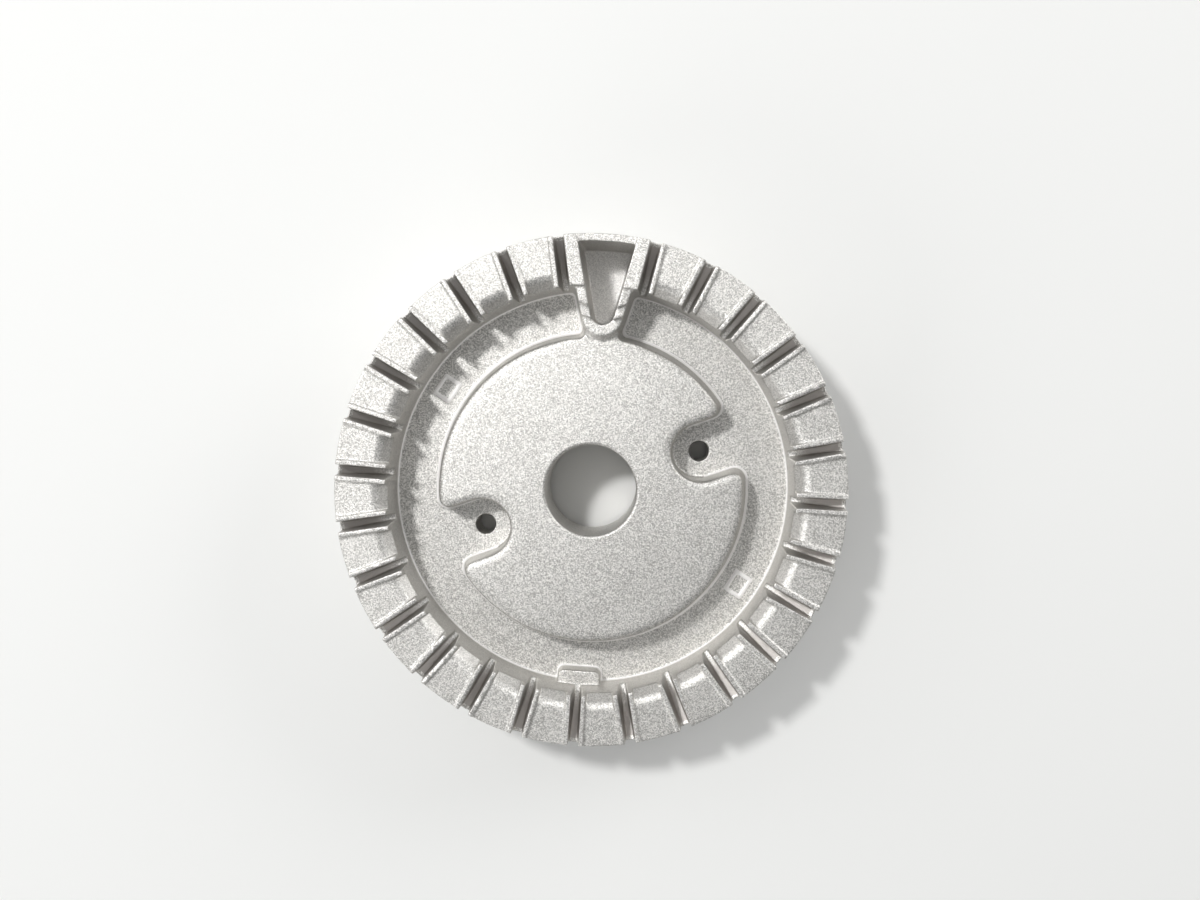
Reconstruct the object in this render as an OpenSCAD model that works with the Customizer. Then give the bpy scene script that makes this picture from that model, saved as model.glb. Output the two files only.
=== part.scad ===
// Cast head of a sealed gas burner, seen with its cap lifted off.
// One die casting: a toothed rim with a gas slot between each pair of teeth,
// an annular gas chamber, a raised middle with the throat bore, and a pocket
// in the rim where the spark is struck.
// +Z points up out of the cooktop. The origin is on the bore axis, at the foot.
// +Y points through the spark pocket.

/* [Rim] */
// Outside diameter of the head
rim_d = 88; // [84:0.5:96]
// Height of the head, from its foot to the tops of the slot lips
head_h = 20; // [18:0.5:24]
// Width of the toothed band, from the chamber wall to the outside
band_w = 8.8; // [8:0.1:10]
// How far the slot lips stand above the tooth tops
lip_step = 0.3; // [0.1:0.05:0.6]
// Thickness of a slot lip
lip_w = 0.8; // [0.5:0.05:1]
// Height from the inner edge of a tooth up to the lip tops
tooth_drop = 2.4; // [1.8:0.1:3]
// Slope of the inner face of a tooth, in degrees
tooth_slope = 50; // [40:1:60]
// Radius of the crest between a tooth's slope and its top
crest_r = 2; // [1:0.1:2.5]

/* [Gas slots] */
// Number of gas slots
slot_count = 27; // [21:2:31]
// Angle between the two slots beside the spark pocket, in degrees
pocket_gap = 22; // [22:0.5:26]
// Width of a slot at the lip tops
slot_w = 1.9; // [1.4:0.1:2.2]
// Draft of the slot sides, in degrees
slot_draft = 3.4; // [1:0.1:4]
// Depth of a slot at the chamber
slot_deep = 7.5; // [6:0.1:8]
// Depth of a slot at the outside of the rim
slot_shallow = 2.7; // [2:0.1:4]

/* [Gas chamber] */
// Depth of the chamber floor under the lip tops
chamber_depth = 10.7; // [9.5:0.1:11.5]
// Draft of the chamber's outer wall, in degrees
chamber_draft = 2; // [1:0.1:4]
// Fillet between the chamber's outer wall and floor
chamber_fillet = 0.3; // [0.2:0.05:0.6]
// Radius in the four corners at the ends of the chamber
end_r = 1; // [0.6:0.1:1.4]
// Width of the ledge under the slot opposite the pocket
ledge_w = 7; // [5:0.1:9]
// How far the ledge reaches in from the chamber wall
ledge_reach = 2.6; // [2:0.1:3.2]

/* [Raised middle] */
// Diameter of the flat top
middle_d = 52; // [48:0.5:53]
// Depth of the flat top under the lip tops
middle_drop = 3.4; // [2.8:0.1:4.4]
// Radius along the edge of the flat top
middle_edge = 0.45; // [0.3:0.05:0.6]
// Draft of the outer wall, in degrees
middle_draft = 6.5; // [3:0.5:8]
// Fillet between the outer wall and the chamber floor
middle_fillet = 0.8; // [0.4:0.1:1]

/* [Throat and screws] */
// Diameter of the throat bore
bore_d = 15.8; // [14:0.1:18]
// Bevel at the top of the bore
bore_bevel = 0.35; // [0.2:0.05:0.6]
// Wall of the tube around the bore
tube_wall = 2.5; // [2:0.1:3]
// Height of the tube's end above the foot of the head
tube_lift = 1; // [0.5:0.1:2]
// Diameter of the screw holes
screw_d = 3.6; // [3.2:0.1:4.2]
// Diameter of the circle through the two screw holes
screw_circle = 40.2; // [39:0.1:42]
// Angle of the first screw hole from +X, in degrees
screw_angle = 22.9; // [15:0.1:35]
// Width of the notch around a screw hole, at the flat top
notch_w = 10.8; // [10:0.1:12]
// Radius of the corner between a notch and the edge of the middle
notch_corner = 1.3; // [0.8:0.1:1.6]
// Wall of the round boss under a screw hole
boss_wall = 1.9; // [1.5:0.1:2.5]

/* [Spark pocket] */
// Radius of the nose that carries the pocket over the middle
nose_r = 3.4; // [3.2:0.1:3.8]
// How far the tip of the nose stays outside the flat top
nose_gap = 0.85; // [0.5:0.05:1.2]
// Angle of the outer sides of the walls to +Y, in degrees
nose_angle = 16; // [15:0.1:17]
// Wall at the tip of the nose
nose_wall = 1.7; // [1.5:0.1:2]
// Radius of the narrow end of the pocket
pocket_r = 2.17; // [1.8:0.05:2.3]
// Angle of the pocket's sides to +Y, in degrees
pocket_angle = 13; // [12:0.1:13.5]
// Wall between the pocket and the outside of the rim
pocket_wall = 1.3; // [1:0.1:2]
// Depth of the pocket's floor under the chamber floor
pocket_sink = 1.8; // [0.5:0.1:2]
// Draft of the pocket's sides, in degrees
pocket_draft = 2; // [1:0.1:3]
// Drop of the walls beside the pocket under the lip tops
step_drop = 0.5; // [0.4:0.1:0.8]
// Drop of their second step
step_drop_2 = 1.4; // [1.1:0.1:1.7]
// Drop of their third step, which carries the tip of the nose
step_drop_3 = 2.3; // [2:0.1:2.5]

/* [Shell] */
// Wall of the casting over the hollow underside
wall = 2.3; // [1.8:0.1:2.6]
// Wall of the skirt at its foot
skirt_wall = 1.8; // [1.5:0.1:2.2]
// How far the skirt draws in towards its foot
skirt_taper = 0.6; // [0:0.1:1]

/* [Hidden] */
$fn = 180;

rim_r = rim_d / 2;
tooth_z = head_h - lip_step;
foot_z = head_h - tooth_drop;
floor_z = head_h - chamber_depth;
middle_z = head_h - middle_drop;
middle_r = middle_d / 2;
bore_r = bore_d / 2;
tube_r = bore_r + tube_wall;
screw_r = screw_circle / 2;
notch_r = notch_w / 2;
slot_pitch = (360 - pocket_gap) / (slot_count - 1);
slot_in_z = head_h - slot_deep;
slot_out_z = head_h - slot_shallow;
skirt_in_r = rim_r - skirt_taper - skirt_wall;

// Overlap of solids that join, and reach of cutters past a face
join = 1;
past = 2;
// Overlap that keeps a fillet from ending flush with a wall, or an edge with a face
bite = 0.02;
middle_top = middle_z + bite;
// Edge radius, draft and fillet of the notch walls
notch_edge = 0.35;
notch_draft = 2.2;
notch_fillet = 0.3;
// Draft and fillet of the pocket's outer walls
nose_draft = 3.2;
nose_fillet = 0.5;
// The second and third step of these walls begin along a shallow V: how far its point
// lies outwards of the centre of the nose's tip, and the slant of its sides in degrees
step_y_2 = 0.48;
step_slant_2 = 20;
step_y_3 = -1.1;
step_slant_3 = 14.4;
// Corner radius at the wide end of the pocket, and fillet on its floor
pocket_corner = 0.4;
pocket_fillet = 0.3;
// Edge radius, draft, fillet and front corner radius of the ledge
ledge_edge = 0.2;
ledge_draft = 3;
ledge_fillet = 0.3;
ledge_corner = 0.8;
// Plain raised frames on the chamber floor: size along and across the radius, line,
// height and places
frame_size = [3.3, 4];
frame_line = 0.4;
frame_h = 0.2;
frame_angles = [149.5, 330.4];

// Radius of the chamber's outer wall at height z, floor fillet included
function chamber_r(z) = rim_r - band_w
    - flare(z, head_h, floor_z, 0, chamber_draft, chamber_fillet);

// How far a drafted wall has moved out at height z, counted from its top edge:
// a rounded edge, then the draft, then a fillet on the floor
function flare(z, top, base, edge, draft, fillet) =
    let (s = top - z, straight = top - base - edge - fillet)
    s < edge ? sqrt(max(0, edge * edge - pow(edge - s, 2)))
    : edge + min(s - edge, straight) * tan(draft)
        + fillet - sqrt(max(0, fillet * fillet - pow(min(fillet, max(0, base + fillet - z)), 2)));

// Heights at which such a wall is drawn, from under the floor to its top edge
function wall_heights(top, base, edge, fillet) = concat(
    [base - join],
    [for (a = [0:30:90]) base + fillet * (1 - cos(a))],
    edge > 0 ? [for (a = [90:-30:0]) top - edge * (1 - cos(a))] : [top]);

// Points of an arc about c, from angle a to angle b in n steps
function arc(c, r, a, b, n) =
    [for (i = [0:n]) c + r * dir(a + (b - a) * i / n)];

function dir(a) = [cos(a), sin(a)];
function polar(p) = atan2(p.y, p.x);

// Point at distance r from the axis on the line whose normal points along n_angle
// and which passes the axis at distance c, on the +Y side
function touch(n_angle, c, r) =
    c * dir(n_angle) + sqrt(r * r - c * c) * dir(n_angle + 90);

// Solid through a list of [height, outline], all outlines with as many points
module loft(layers) {
    n = len(layers[0][1]);
    last = len(layers) - 1;
    polyhedron(
        points = [for (l = layers) for (p = l[1]) [p.x, p.y, l[0]]],
        faces = concat(
            [[for (i = [0:n - 1]) i]],
            [[for (i = [n - 1:-1:0]) last * n + i]],
            [for (k = [0:last - 1], i = [0:n - 1])
                [k * n + i, (k + 1) * n + i, (k + 1) * n + (i + 1) % n]],
            [for (k = [0:last - 1], i = [0:n - 1])
                [k * n + i, (k + 1) * n + (i + 1) % n, k * n + (i + 1) % n]]));
}

// Height of a slot's floor at radius r: level up to the chamber wall, then climbing
function slot_floor(r) =
    let (in_r = chamber_r(slot_in_z))
    slot_in_z + (slot_out_z - slot_in_z) * max(0, r - in_r) / (rim_r - in_r);

module at_slots() {
    for (i = [0:slot_count - 1]) rotate(90 + pocket_gap / 2 + i * slot_pitch) children();
}

// Turned blank: skirt, rim, chamber and throat tube, still without teeth, slots and bores
module blank() {
    core_r = rim_r - band_w + wall;
    wall_zs = wall_heights(head_h, floor_z, 0, chamber_fillet);
    rotate_extrude() polygon(concat(
        [[0, tube_lift], [tube_r, tube_lift], [tube_r, floor_z - wall], [core_r, floor_z - wall],
         [core_r, slot_floor(core_r) - wall], [skirt_in_r, slot_floor(skirt_in_r) - wall],
         [skirt_in_r, 0], [rim_r - skirt_taper, 0], [rim_r, floor_z], [rim_r, head_h]],
        [for (i = [len(wall_zs) - 1:-1:1]) [chamber_r(wall_zs[i]), wall_zs[i]]],
        [[0, floor_z]]));
}

// Raised middle, with a notch around each screw hole, and its top face cut flat
module middle() {
    difference() {
        union() {
            loft([for (z = wall_heights(middle_top, floor_z, middle_edge, middle_fillet))
                [z, middle_outline(z)]]);
            for (side = [1, -1]) end_fillet(side);
            nose_web();
        }
        translate([0, 0, middle_z]) cylinder(h = head_h, r = rim_r);
    }
}

function middle_wall_r(z) = middle_r
    + flare(z, middle_top, floor_z, middle_edge, middle_draft, middle_fillet);

function middle_outline(z) =
    let (
        r = middle_wall_r(z),
        w = notch_r - flare(z, middle_top, floor_z, notch_edge, notch_draft, notch_fillet),
        corner = notch_corner + notch_r - w,
        v = w + corner,
        u = sqrt(pow(r - corner, 2) - v * v),
        open = atan2(v, u))
    [for (a = [screw_angle, screw_angle + 180]) each concat(
        arc(u * dir(a) - v * dir(a + 90), corner, a - open, a + 90, 5),
        arc(screw_r * dir(a), w, a - 90, a - 270, 14),
        arc(u * dir(a) + v * dir(a + 90), corner, a - 90, a + open, 5),
        inner(arc([0, 0], r, a + open, a + 180 - open, 44)))];

// The points of a list without its first and last
function inner(points) = [for (i = [1:len(points) - 2]) points[i]];

// Hollow under the middle, around the throat tube and the two notches
module middle_core() {
    translate([0, 0, -past]) linear_extrude(middle_z - wall + past) difference() {
        circle(middle_r - wall + middle_edge);
        circle(tube_r);
        for (a = [screw_angle, screw_angle + 180]) rotate(a) translate([screw_r, 0]) {
            circle(notch_r + wall);
            translate([0, -notch_r - wall]) square([rim_r, 2 * (notch_r + wall)]);
        }
    }
}

// Outer side of a pocket wall: its normal, and its distance from the axis at height z
nose_n = -nose_angle;
nose_y = middle_r + nose_gap + nose_r;
function nose_flare(z) = flare(z, head_h - step_drop + bite, floor_z, 0, nose_draft, nose_fillet);
function nose_c(z) = nose_r + nose_flare(z) - nose_y * sin(nose_angle);

// Walls of the spark pocket, solid, stepped down towards the middle, with a fillet
// on each side where they meet the chamber's outer wall
module nose() {
    out_r = (skirt_in_r + rim_r) / 2;
    top_z = head_h - step_drop + bite;
    base_z = floor_z - pocket_sink - wall;
    zs = concat([base_z], wall_heights(top_z, floor_z, 0, nose_fillet));
    difference() {
        loft([for (z = zs) let (
            c = touch(nose_n, nose_c(z) + end_r, chamber_r(z) - end_r + bite),
            a = polar(c))
            [z, concat(
                arc(c, end_r, 180 + nose_n, a, 6),
                arc([0, 0], out_r, a, 180 - a, 8),
                arc([-c.x, c.y], end_r, 180 - a, -nose_n, 6),
                arc([0, nose_y], nose_r + nose_flare(z), 180 - nose_n, 360 + nose_n, 24))]]);
        translate([0, 0, top_z - bite]) cylinder(h = head_h, r = rim_r);
        nose_step(nose_y + step_y_2, step_slant_2, head_h - step_drop_2);
        nose_step(nose_y + step_y_3, step_slant_3, head_h - step_drop_3);
    }
}

// Sloping foot of the nose's tip, down to the edge of the flat top
module nose_foot() {
    rise = middle_drop - step_drop_3;
    low_r = nose_r + nose_gap;
    sunk = 10 * bite;
    tip_depth = nose_r / 4;
    half_w = nose_r - tip_depth / 2;
    intersection() {
        translate([0, nose_y, middle_z - sunk])
            cylinder(h = sunk + rise, r1 = low_r + sunk * nose_gap / rise, r2 = nose_r);
        translate([-half_w, 0, 0]) cube([2 * half_w, nose_y - nose_r + tip_depth, head_h]);
    }
}

// Web that closes the gap between the middle and the tip of the nose, below its foot
module nose_web() {
    half_w = 0.8 * nose_r;
    translate([-half_w, middle_r - join, middle_z - join])
        cube([2 * half_w, nose_gap + 2 * join, 2 * join]);
}

// Cutter that drops the walls to height z, inside a shallow V with its point at y
module nose_step(y, slant, z) {
    side = 2 * nose_r;
    rise = side * tan(slant);
    translate([0, 0, z]) linear_extrude(head_h - z + past) polygon(
        [[0, y], [-side, y + rise], [-side, y - 2 * nose_r], [side, y - 2 * nose_r], [side, y + rise]]);
}

// Spark pocket: a V with a round narrow end and an outer wall that follows the rim
module pocket() {
    pocket_z = floor_z - pocket_sink;
    end_y = nose_y - nose_r + nose_wall + pocket_r;
    outer_r = rim_r - pocket_wall;
    n = -pocket_angle;
    zs = concat(inner(wall_heights(head_h, pocket_z, 0, pocket_fillet)), [head_h, head_h + past]);
    loft([for (z = zs) let (
        g = flare(min(z, head_h), head_h, pocket_z, 0, pocket_draft, pocket_fillet),
        line = pocket_r - g - end_y * sin(pocket_angle),
        c = touch(n, line - pocket_corner, outer_r - g - pocket_corner))
        [z, concat(
            arc(c, pocket_corner, n, polar(c), 4),
            inner(arc([0, 0], outer_r - g, polar(c), 180 - polar(c), 8)),
            arc([-c.x, c.y], pocket_corner, 180 - polar(c), 180 - n, 4),
            arc([0, end_y], pocket_r - g, 180 - n, 360 + n, 16))]]);
}

// Strip between the pocket and the outside, cut down to the height of the teeth
module pocket_strip() {
    inset = 0.05;
    end_y = nose_y - nose_r + nose_wall + pocket_r;
    line = (pocket_r - inset) / cos(pocket_angle) - end_y * tan(pocket_angle);
    y0 = rim_r - pocket_wall - join;
    y1 = rim_r + past;
    translate([0, 0, tooth_z]) linear_extrude(past) polygon([
        for (p = [[1, y0], [1, y1], [-1, y1], [-1, y0]])
            [p.x * (line + p.y * tan(pocket_angle)), p.y]]);
}

// Fillet between the middle and the walls of the pocket, on one side of it, 1 or -1.
// Its back lies inside both
module end_fillet(side) {
    zs = wall_heights(middle_top, floor_z, middle_edge, middle_fillet);
    flip = side > 0 ? [0, 0, 0] : [1, 0, 0];
    r = end_r - bite;
    back = 0.5;
    mirror(flip) loft([for (z = zs) let (
        w = middle_wall_r(z),
        c = touch(nose_n, nose_c(z) + r, w + r),
        tip = touch(nose_n, nose_c(z), w))
        [z, concat(
            arc(c, end_r, polar(c) + 180, 180 + nose_n, 6),
            [c - (end_r + back) * dir(nose_n),
             (w - back) * dir(polar(tip)) - back * dir(nose_n),
             (w - back) * dir(polar(c))])]]);
}

// Ledge under the slot opposite the pocket
module ledge() {
    front = rim_r - band_w - ledge_reach;
    zs = wall_heights(slot_in_z, floor_z, ledge_edge, ledge_fillet);
    x = ledge_w / 2 - ledge_corner;
    back = front + ledge_reach + wall / 2;
    loft([for (z = zs) let (
        g = flare(z, slot_in_z, floor_z, ledge_edge, ledge_draft, ledge_fillet),
        r = ledge_corner + g)
        [z, concat(
            arc([-x, -front - ledge_corner], r, 180, 90, 5),
            arc([x, -front - ledge_corner], r, 90, 0, 5),
            [[x + r, -back], [-x - r, -back]])]]);
}

// Round boss under a screw hole, down to the end of the throat tube
module screw_boss() {
    translate([0, 0, tube_lift])
        cylinder(h = floor_z - wall / 2 - tube_lift, d = screw_d + 2 * boss_wall);
}

// What is cut away over the teeth, between the lips
module over_teeth() {
    slope_top = crest_r * sin(tooth_slope);
    sharp_r = chamber_r(foot_z) + (tooth_z - foot_z) / tan(tooth_slope);
    crest_c = [sharp_r + crest_r * tan(tooth_slope / 2), tooth_z - crest_r];
    in_r = chamber_r(foot_z) - join;
    difference() {
        rotate_extrude() polygon(concat(
            [[in_r, foot_z - join * tan(tooth_slope)]],
            [for (a = [90 + tooth_slope:-tooth_slope / 8:90]) crest_c + crest_r * dir(a)],
            [[rim_r + past, tooth_z], [rim_r + past, head_h + past], [in_r, head_h + past]]));
        at_slots() translate([in_r - join, -slot_w / 2 - lip_w, 0])
            cube([rim_r + 2 * past - in_r, slot_w + 2 * lip_w, 2 * head_h]);
        linear_extrude(2 * head_h) polygon(concat([[0, 0]],
            arc([0, 0], 2 * rim_r, 90 - pocket_gap / 2, 90 + pocket_gap / 2, 2)));
    }
}

// Cutter for one slot, lying along +X: drafted sides, and a floor that climbs outwards
module slot() {
    in_r = chamber_r(slot_in_z);
    low = slot_w / 2 - slot_deep * tan(slot_draft);
    high = slot_w / 2 + past * tan(slot_draft);
    reach = 2 * past;
    out_z = slot_floor(rim_r + reach);
    intersection() {
        rotate([90, 0, 90]) linear_extrude(rim_r + reach) polygon(
            [[-low, slot_in_z], [low, slot_in_z], [high, head_h + past], [-high, head_h + past]]);
        translate([0, past, 0]) rotate([90, 0, 0]) linear_extrude(2 * past) polygon(
            [[in_r - join, slot_in_z], [in_r, slot_in_z], [rim_r + reach, out_z],
             [rim_r + reach, head_h + past], [in_r - join, head_h + past]]);
    }
}

// Plain raised frame in the middle of the chamber floor, at angle a
module raised_frame(a) {
    mid_r = (middle_wall_r(floor_z) + chamber_r(floor_z)) / 2;
    inner_size = frame_size - 2 * frame_line * [1, 1];
    rotate(a) translate([mid_r, 0, floor_z - frame_h]) linear_extrude(2 * frame_h) difference() {
        square(frame_size, center = true);
        square(inner_size, center = true);
    }
}

module at_screws() {
    for (a = [screw_angle, screw_angle + 180]) rotate(a) translate([screw_r, 0, 0]) children();
}

module burner_head() {
    color("silver") difference() {
        union() {
            blank();
            middle();
            nose();
            nose_foot();
            ledge();
            for (a = frame_angles) raised_frame(a);
            at_screws() screw_boss();
        }
        over_teeth();
        at_slots() slot();
        pocket();
        pocket_strip();
        middle_core();
        translate([0, 0, -past]) cylinder(h = head_h, r = bore_r);
        translate([0, 0, middle_z - bore_bevel])
            cylinder(h = 2 * bore_bevel, r1 = bore_r, r2 = bore_r + 2 * bore_bevel);
        at_screws() cylinder(h = head_h, d = screw_d);
    }
}

burner_head();
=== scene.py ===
import math

import bmesh
import bpy
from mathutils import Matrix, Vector


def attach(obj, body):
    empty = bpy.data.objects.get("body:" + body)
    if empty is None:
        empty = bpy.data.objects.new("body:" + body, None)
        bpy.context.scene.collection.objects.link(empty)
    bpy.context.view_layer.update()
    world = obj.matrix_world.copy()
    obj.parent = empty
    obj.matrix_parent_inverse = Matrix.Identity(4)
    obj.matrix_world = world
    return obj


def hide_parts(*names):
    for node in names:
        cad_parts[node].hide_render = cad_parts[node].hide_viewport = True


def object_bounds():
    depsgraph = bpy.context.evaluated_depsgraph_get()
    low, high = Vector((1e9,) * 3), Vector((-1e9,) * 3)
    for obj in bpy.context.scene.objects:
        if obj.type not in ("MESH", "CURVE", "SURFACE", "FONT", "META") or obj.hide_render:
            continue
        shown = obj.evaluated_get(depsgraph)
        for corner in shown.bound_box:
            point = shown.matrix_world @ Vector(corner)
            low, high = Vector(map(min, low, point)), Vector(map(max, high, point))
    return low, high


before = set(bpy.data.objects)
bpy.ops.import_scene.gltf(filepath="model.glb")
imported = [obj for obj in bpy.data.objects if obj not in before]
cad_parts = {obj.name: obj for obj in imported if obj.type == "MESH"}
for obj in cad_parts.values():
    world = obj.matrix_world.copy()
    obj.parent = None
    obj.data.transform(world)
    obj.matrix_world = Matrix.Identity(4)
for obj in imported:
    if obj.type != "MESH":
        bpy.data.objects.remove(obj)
cad_box = [list(corner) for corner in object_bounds()]

# Burner head: one die casting in aluminium silicon alloy, shot-blasted all over after
# casting. The blasting dulls every edge a little, so the casting is taken from its solid
# with its edges worn round, and the rim of its raised middle rounder still.
MM = 0.001
RIM_RADIUS = cad_box[1][0]
RIM_TOP = cad_box[1][2]
MIDDLE_RADIUS = 26 * MM
MIDDLE_TOP = RIM_TOP - 3.4 * MM
CHAMBER_FLOOR = RIM_TOP - 10.7 * MM
MERGE_GAP = 0.001 * MM
EDGE_SIZE = 0.16 * MM
EDGE_ROUNDS = 2
MIDDLE_ROUNDS = 120
SMOOTHING = 0.5
ROUND_FROM = 11 * MM
ROUND_TO = MIDDLE_RADIUS + 1 * MM
ROUND_LOW = MIDDLE_TOP - 4.1 * MM
ROUND_HIGH = MIDDLE_TOP + 0.6 * MM
SPARED_HALF = 7 * MM
SPARED_FROM = 19 * MM
TRIANGLES = 190000
LEVEL_WEIGHT = 100


def merged_copy(node, name):
    """The solid's loose triangles as one closed mesh, in an object of its own."""
    form = bmesh.new()
    form.from_mesh(node.data)
    bmesh.ops.remove_doubles(form, verts=form.verts, dist=MERGE_GAP)
    bmesh.ops.recalc_face_normals(form, faces=form.faces)
    data = bpy.data.meshes.new(name)
    form.to_mesh(data)
    form.free()
    piece = bpy.data.objects.new(name, data)
    bpy.context.scene.collection.objects.link(piece)
    return piece


def soften(piece, name, rounds, group=""):
    """Evens out the mesh of a piece, or only the part of it that is in a vertex group."""
    softer = piece.modifiers.new(name, "SMOOTH")
    softer.factor = SMOOTHING
    softer.iterations = rounds
    softer.vertex_group = group


def settle(piece):
    """Turns the modifiers of a piece into its mesh."""
    bpy.context.view_layer.update()
    seen = bpy.context.evaluated_depsgraph_get()
    data = bpy.data.meshes.new_from_object(piece.evaluated_get(seen))
    piece.modifiers.clear()
    piece.data = data


def on_middle_rim(place):
    """True near the edge of the raised middle, away from the throat and the spark pocket."""
    near = ROUND_FROM < math.hypot(place.x, place.y) < ROUND_TO
    on_edge = ROUND_LOW < place.z < ROUND_HIGH
    by_pocket = abs(place.x) < SPARED_HALF and place.y > SPARED_FROM
    return near and on_edge and not by_pocket


burner_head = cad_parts["burner_head"]
casting = merged_copy(burner_head, "burner_casting")
worn = casting.modifiers.new("worn edges", "REMESH")
worn.mode = "VOXEL"
worn.voxel_size = EDGE_SIZE
soften(casting, "softer edges", EDGE_ROUNDS)
settle(casting)
middle_rim = casting.vertex_groups.new(name="middle_rim")
middle_rim.add([v.index for v in casting.data.vertices if on_middle_rim(v.co)], 1.0, "REPLACE")
soften(casting, "round rim of the middle", MIDDLE_ROUNDS, "middle_rim")
settle(casting)
casting.vertex_groups.clear()
lighter = casting.modifiers.new("fewer triangles", "DECIMATE")
lighter.ratio = TRIANGLES / (2 * len(casting.data.polygons))
settle(casting)
for face in casting.data.polygons:
    face.use_smooth = True
even = casting.modifiers.new("level faces shade flat", "WEIGHTED_NORMAL")
even.mode = "FACE_AREA"
even.weight = LEVEL_WEIGHT


def linear(hex_colour):
    """An sRGB colour such as 'C8C6C2' as linear values with alpha 1."""
    parts = [int(hex_colour[i:i + 2], 16) / 255 for i in (0, 2, 4)]
    return [p / 12.92 if p <= 0.04045 else ((p + 0.055) / 1.055) ** 2.4 for p in parts] + [1]


def add_node(tree, kind, settings=None, inputs=None):
    """Adds a node. An input's value is a socket to link from, or a plain value."""
    node = tree.nodes.new(kind)
    for key, value in (settings or {}).items():
        setattr(node, key, value)
    for key, value in (inputs or {}).items():
        if isinstance(value, bpy.types.NodeSocket):
            tree.links.new(value, node.inputs[key])
        else:
            node.inputs[key].default_value = value
    return node


def between(value, low, high, share=1.0):
    """Nodes in the current tree for a share between two limits of a value, and 0 elsewhere."""
    over = add_node(tree, "ShaderNodeMath", {"operation": "GREATER_THAN"}, {0: value, 1: low})
    under = add_node(tree, "ShaderNodeMath", {"operation": "LESS_THAN"}, {0: value, 1: high})
    both = add_node(tree, "ShaderNodeMath", {"operation": "MULTIPLY"}, {
        0: over.outputs[0], 1: under.outputs[0]})
    return add_node(tree, "ShaderNodeMath", {"operation": "MULTIPLY"}, {
        0: both.outputs[0], 1: share}).outputs[0]


# Shot-blasted die-cast aluminium: a pale silver grey, dull and evenly grained where it is
# level, and smoother on the walls, which the shot only grazes.
STEEP = 0.55
LEVEL = 0.95
blasted = bpy.data.materials.new("shot_blasted_aluminium")
blasted.use_nodes = True
tree = blasted.node_tree
tree.nodes.clear()
place = add_node(tree, "ShaderNodeTexCoord").outputs["Object"]
axes = add_node(tree, "ShaderNodeSeparateXYZ", inputs={"Vector": place}).outputs
height = axes["Z"]
across = add_node(tree, "ShaderNodeVectorMath", {"operation": "MULTIPLY"}, {
    0: place, 1: (1, 1, 0)}).outputs["Vector"]
radius = add_node(tree, "ShaderNodeVectorMath", {"operation": "LENGTH"}, {0: across}).outputs["Value"]
facing = add_node(tree, "ShaderNodeNewGeometry").outputs["Normal"]
upward = add_node(tree, "ShaderNodeSeparateXYZ", inputs={"Vector": facing}).outputs["Z"]
level = add_node(tree, "ShaderNodeMapRange", inputs={
    "Value": upward, "From Min": STEEP, "From Max": LEVEL}).outputs["Result"]

# Inside the gas slots the skin is painted a darker grey, painted shade for the deep slots, and is made a
# little rougher. There are none in the stretch of rim that the spark pocket takes.
POCKET_HALF = 6.5 * MM
SLOT_FROM = RIM_RADIUS - 8.2 * MM
SLOT_DARK = RIM_RADIUS - 5.6 * MM
SLOT_END = RIM_RADIUS - 0.7 * MM
SLOT_LOW = RIM_TOP - 8 * MM
SLOT_HIGH = RIM_TOP - 1.1 * MM
by_pocket = between(axes["X"], -POCKET_HALF, POCKET_HALF, between(axes["Y"], 0, 1))
elsewhere = add_node(tree, "ShaderNodeMath", {"operation": "SUBTRACT"}, {0: 1, 1: by_pocket}).outputs[0]
outwards = add_node(tree, "ShaderNodeMapRange", inputs={
    "Value": radius, "From Min": SLOT_FROM, "From Max": SLOT_DARK, "To Max": elsewhere}).outputs["Result"]
in_slot = between(radius, SLOT_FROM, SLOT_END, between(height, SLOT_LOW, SLOT_HIGH, outwards))

# The small fillets at the foot of the chamber's walls carry a painted highlight, near white and less
# metallic, and the floor of the spark pocket, but not its underside, takes half as much of it as painted
# light.
FOOT_FROM = 20 * MM
FOOT_TO = 37 * MM
FOOT_LOW = CHAMBER_FLOOR + 0.04 * MM
FOOT_HIGH = CHAMBER_FLOOR + 0.34 * MM
POCKET_TO = 43 * MM
POCKET_LOW = CHAMBER_FLOOR - 3.3 * MM
POCKET_HIGH = CHAMBER_FLOOR - 0.3 * MM
POCKET_PAINTED_LIGHT = 0.5
NOT_UNDER = 0.3
at_foot = between(radius, FOOT_FROM, FOOT_TO, between(height, FOOT_LOW, FOOT_HIGH))
in_pocket = between(upward, NOT_UNDER, 2, between(radius, 0, POCKET_TO, between(
    height, POCKET_LOW, POCKET_HIGH, by_pocket)))
half_painted_light = add_node(tree, "ShaderNodeMath", {"operation": "MULTIPLY"}, {
    0: in_pocket, 1: POCKET_PAINTED_LIGHT}).outputs[0]
painted_light = add_node(tree, "ShaderNodeMath", {"operation": "MAXIMUM"}, {
    0: at_foot, 1: half_painted_light}).outputs[0]

# The grain of the blasting is drawn about as wide as a pixel of the render, which is
# coarser than the real one. The middle's flat top is crowned too slightly to change its
# outline, so the crown only turns its shading.
GRAIN = 0.14 * MM
GRAIN_DEPTH = 0.03 * MM
WALL_GRAIN = 0.25
FACE_GRAIN = 1.0
CROWN = 0.45 * MM
CROWN_RADIUS = 24 * MM
CROWN_GAP = 0.4 * MM
dimples = add_node(tree, "ShaderNodeTexVoronoi", inputs={"Vector": place, "Scale": 1 / GRAIN}).outputs
depth = add_node(tree, "ShaderNodeMapRange", inputs={
    "Value": level, "To Min": WALL_GRAIN, "To Max": FACE_GRAIN}).outputs["Result"]
square = add_node(tree, "ShaderNodeMath", {"operation": "MULTIPLY"}, {0: radius, 1: radius}).outputs[0]
sag = add_node(tree, "ShaderNodeMath", {"operation": "MULTIPLY"}, {
    0: square, 1: -CROWN / CROWN_RADIUS ** 2}).outputs[0]
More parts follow.
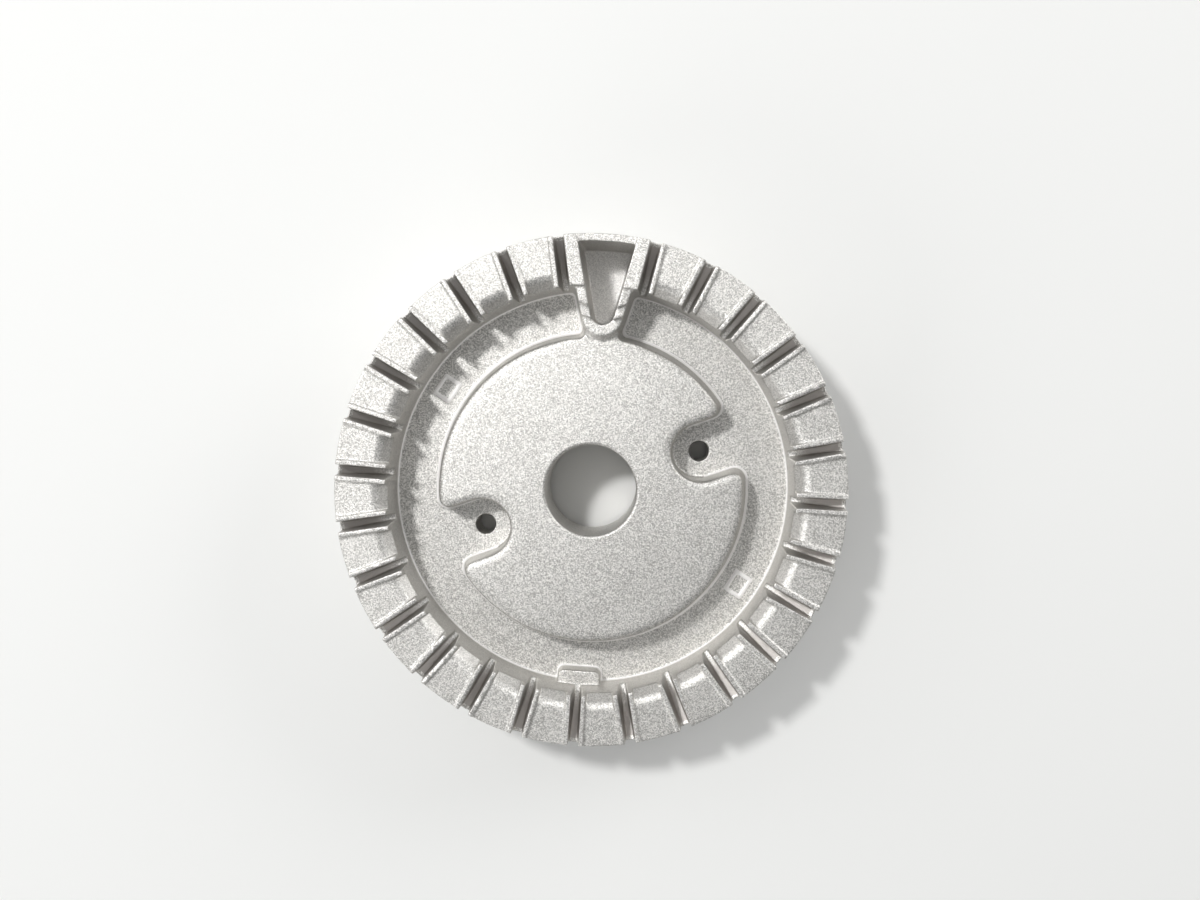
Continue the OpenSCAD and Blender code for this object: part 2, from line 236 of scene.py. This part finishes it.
on_middle = between(radius, 0, MIDDLE_RADIUS, between(
    height, MIDDLE_TOP - CROWN_GAP, MIDDLE_TOP + CROWN_GAP))
crown = add_node(tree, "ShaderNodeBump", inputs={
    "Strength": on_middle, "Distance": 1.0, "Height": sag}).outputs["Normal"]
bump = add_node(tree, "ShaderNodeBump", inputs={
    "Strength": depth, "Distance": GRAIN_DEPTH, "Height": dimples["Distance"],
    "Normal": crown}).outputs["Normal"]

# Each grain has a grey of its own, with faint larger patches. Steep walls vary less.
DARK_GREY = "AAA8A4"
PALE_GREY = "F2F0EC"
# The slot grey is painted shade in the slots; the foot grey is a painted highlight on the foot fillets
# and painted light on the pocket floor.
SLOT_SHADE_GREY = "BEBAB6"
FOOT_HIGHLIGHT_GREY = "FAF8F6"
RAMP = (0.25, 0.75)
EVEN_GREY = 0.5
WALL_SPECKLE = 0.3
FACE_SPECKLE = 1.0
PATCHES = 9 * MM
PATCH_DETAIL = 3
PATCH_BREAKUP = 0.55
PATCH_SHARE = 0.2
ROUGH = 0.5
SLOT_ROUGH = 0.55
FOOT_METAL = 0.3
patches = add_node(tree, "ShaderNodeTexNoise", inputs={
    "Vector": place, "Scale": 1 / PATCHES, "Detail": PATCH_DETAIL,
    "Roughness": PATCH_BREAKUP}).outputs["Fac"]
speckle = add_node(tree, "ShaderNodeSeparateColor", inputs={"Color": dimples["Color"]}).outputs["Red"]
variety = add_node(tree, "ShaderNodeMapRange", inputs={
    "Value": level, "To Min": WALL_SPECKLE, "To Max": FACE_SPECKLE}).outputs["Result"]
grains = add_node(tree, "ShaderNodeMix", inputs={
    "Factor": variety, "A": EVEN_GREY, "B": speckle}).outputs["Result"]
mottle = add_node(tree, "ShaderNodeMix", inputs={
    "Factor": PATCH_SHARE, "A": grains, "B": patches}).outputs["Result"]
shade = add_node(tree, "ShaderNodeValToRGB", inputs={"Fac": mottle})
for stop, position, grey in zip(shade.color_ramp.elements, RAMP, (DARK_GREY, PALE_GREY)):
    stop.position = position
    stop.color = linear(grey)
# Painted shade: the slots are mixed toward the darker slot grey.
skin = add_node(tree, "ShaderNodeMix", {"data_type": "RGBA"}, {
    "Factor": in_slot, "A": shade.outputs["Color"], "B": linear(SLOT_SHADE_GREY)}).outputs["Result"]
# Painted highlight and light: the foot fillets and the pocket floor are mixed toward near white.
skin = add_node(tree, "ShaderNodeMix", {"data_type": "RGBA"}, {
    "Factor": painted_light, "A": skin, "B": linear(FOOT_HIGHLIGHT_GREY)}).outputs["Result"]
dull = add_node(tree, "ShaderNodeMapRange", inputs={
    "Value": in_slot, "To Min": ROUGH, "To Max": SLOT_ROUGH}).outputs["Result"]
metal = add_node(tree, "ShaderNodeMapRange", inputs={
    "Value": painted_light, "To Min": 1.0, "To Max": FOOT_METAL}).outputs["Result"]
shader = add_node(tree, "ShaderNodeBsdfPrincipled", inputs={
    "Base Color": skin, "Metallic": metal, "Roughness": dull, "Normal": bump})
add_node(tree, "ShaderNodeOutputMaterial", inputs={"Surface": shader.outputs["BSDF"]})
for piece in (casting, burner_head):
    piece.data.materials.clear()
    piece.data.materials.append(blasted)

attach(casting, "root")
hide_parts("burner_head")


# Table top: a plain white sheet under the head, matt, which takes its soft shadow. It
# reaches 12 metres each way, so in a low view its edge lies at the horizon.
FLOOR_HALF = 12.0
FLOOR_GAP = 0.02 * MM
SHEET_WHITE = "EAEAE8"
SHEET_ROUGH = 0.9

floor_form = bmesh.new()
bmesh.ops.create_grid(floor_form, x_segments=1, y_segments=1, size=FLOOR_HALF)
bmesh.ops.translate(floor_form, vec=(0, 0, -FLOOR_GAP), verts=floor_form.verts)
floor_data = bpy.data.meshes.new("table_top")
floor_form.to_mesh(floor_data)
floor_form.free()
floor = bpy.data.objects.new("table_top", floor_data)
bpy.context.scene.collection.objects.link(floor)
paper = bpy.data.materials.new("matt_white_sheet")
paper.use_nodes = True
tree = paper.node_tree
tree.nodes.clear()
matt = add_node(tree, "ShaderNodeBsdfPrincipled", inputs={
    "Base Color": linear(SHEET_WHITE), "Roughness": SHEET_ROUGH}).outputs["BSDF"]
add_node(tree, "ShaderNodeOutputMaterial", inputs={"Surface": matt})
floor.data.materials.append(paper)


# Light: a small lamp high on the left beyond the head, which casts the shadows, and three
# wide low screens round it. Places are in degrees from the right and from level, and
# sizes in metres.
LAMP_DISTANCE = 0.8
LAMP_AZIMUTH = 140
LAMP_HEIGHT = 59
LAMP_SIZE = 0.09
LAMP_WATTS = 3.3
SCREEN_HEIGHT = 20
SCREEN_SIZE = 0.5
RIGHT_AZIMUTH = 40
RIGHT_WATTS = 2.15
FAR_AZIMUTH = 155
FAR_WATTS = 0.54
LEFT_AZIMUTH = 235
LEFT_WATTS = 1.2


def toward(azimuth, height):
    """The direction of a place that is given by its azimuth and height in degrees."""
    around = math.radians(azimuth)
    up = math.radians(height)
    return Vector((math.cos(up) * math.cos(around), math.cos(up) * math.sin(around), math.sin(up)))


def add_lamp(name, azimuth, height, size, watts):
    """A round soft lamp that looks at the origin."""
    lamp_data = bpy.data.lights.new(name, "AREA")
    lamp_data.shape = "DISK"
    lamp_data.size = size
    lamp_data.energy = watts
    lamp = bpy.data.objects.new(name, lamp_data)
    lamp.location = LAMP_DISTANCE * toward(azimuth, height)
    lamp.rotation_euler = toward(azimuth, height).to_track_quat("Z", "Y").to_euler()
    bpy.context.scene.collection.objects.link(lamp)


add_lamp("high_lamp", LAMP_AZIMUTH, LAMP_HEIGHT, LAMP_SIZE, LAMP_WATTS)
add_lamp("right_screen", RIGHT_AZIMUTH, SCREEN_HEIGHT, SCREEN_SIZE, RIGHT_WATTS)
add_lamp("far_screen", FAR_AZIMUTH, SCREEN_HEIGHT, SCREEN_SIZE, FAR_WATTS)
add_lamp("left_screen", LEFT_AZIMUTH, SCREEN_HEIGHT, SCREEN_SIZE, LEFT_WATTS)


# Room: pale walls all round, lit more on the far left than on the near right, with a soft
# change between the two sides.
ROOM_WHITE = "F4F5F6"
ROOM_AZIMUTH = 130
ROOM_BLEND = 0.5
ROOM_FAR = 0.68
ROOM_NEAR = 0.34

room = bpy.data.worlds.new("pale_room")
bpy.context.scene.world = room
room.use_nodes = True
tree = room.node_tree
tree.nodes.clear()
looking = add_node(tree, "ShaderNodeTexCoord").outputs["Generated"]
side = add_node(tree, "ShaderNodeVectorMath", {"operation": "DOT_PRODUCT"}, {
    0: looking, 1: toward(ROOM_AZIMUTH, 0)}).outputs["Value"]
strength = add_node(tree, "ShaderNodeMapRange", {"interpolation_type": "SMOOTHSTEP"}, {
    "Value": side, "From Min": -ROOM_BLEND, "From Max": ROOM_BLEND,
    "To Min": ROOM_NEAR, "To Max": ROOM_FAR}).outputs["Result"]
walls = add_node(tree, "ShaderNodeBackground", inputs={
    "Color": linear(ROOM_WHITE), "Strength": strength})
add_node(tree, "ShaderNodeOutputWorld", inputs={"Surface": walls.outputs["Background"]})


# Camera: a quarter of a metre above the head and looking almost straight down.
SENSOR_WIDTH = 36
LENS = 40.5
CAMERA_PLACE = (7.03 * MM, 18.06 * MM, 249.64 * MM)
CAMERA_TURN = (-2.583, 1.622, 3.882)
SHOWN_FROM = 0.01
SHOWN_TO = 20

camera_data = bpy.data.cameras.new("camera")
camera_data.sensor_width = SENSOR_WIDTH
camera_data.lens = LENS
camera_data.clip_start = SHOWN_FROM
camera_data.clip_end = SHOWN_TO
camera = bpy.data.objects.new("camera", camera_data)
camera.location = CAMERA_PLACE
camera.rotation_euler = [math.radians(turn) for turn in CAMERA_TURN]
bpy.context.scene.collection.objects.link(camera)
bpy.context.scene.camera = camera
bpy.context.scene.view_settings.view_transform = "Standard"
